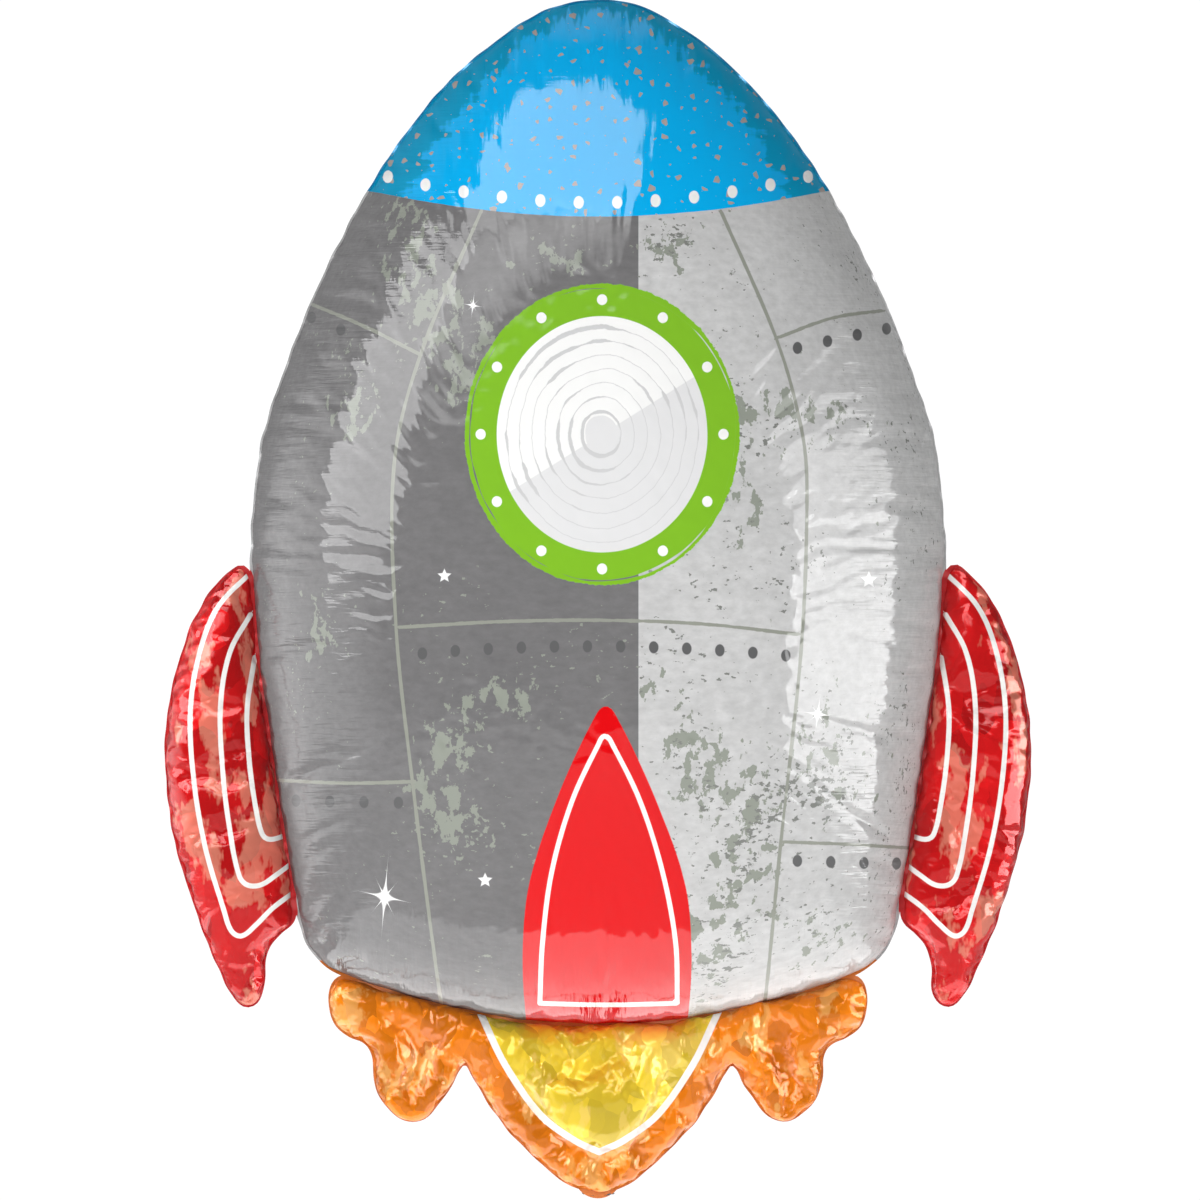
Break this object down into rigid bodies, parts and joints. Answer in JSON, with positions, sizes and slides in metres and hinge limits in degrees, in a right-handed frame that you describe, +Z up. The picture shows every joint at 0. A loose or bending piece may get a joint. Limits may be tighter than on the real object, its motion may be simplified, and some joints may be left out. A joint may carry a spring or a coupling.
{
  "type": "rocket-shaped foil balloon",
  "caption": "Inflated foil balloon shaped as an upright toy rocket, with side fins, flames below, a flat heat-seal edge and a folded inflation tail with its valve film.",
  "frame": {"origin": "foot of the heat-seal edge under the middle flame, in the seal's plane, where the balloon is held in the air", "axes": "+Z up from the flames to the nose, +X to the right as seen from the front, -Y out of the printed front"},
  "size_m": [0.5318, 0.2716, 0.737],
  "materials": {
    "body_foil": "printed metallised film, glossy",
    "fin_foil": "printed metallised film, glossy",
    "flame_foil": "printed metallised film, glossy",
    "seal_foil": "heat-sealed metallised film",
    "valve_film": "clear polyethylene film"
  },
  "bodies": {
    "root": {"body_front": "body_foil", "body_back": "body_foil", "fin_left_front": "fin_foil", "fin_left_back": "fin_foil", "fin_right_front": "fin_foil", "fin_right_back": "fin_foil", "flame_front": "flame_foil", "flame_back": "flame_foil", "seal_web": "seal_foil", "inflation_tail": "seal_foil", "valve_film": "valve_film"}
  },
  "joints": []
}
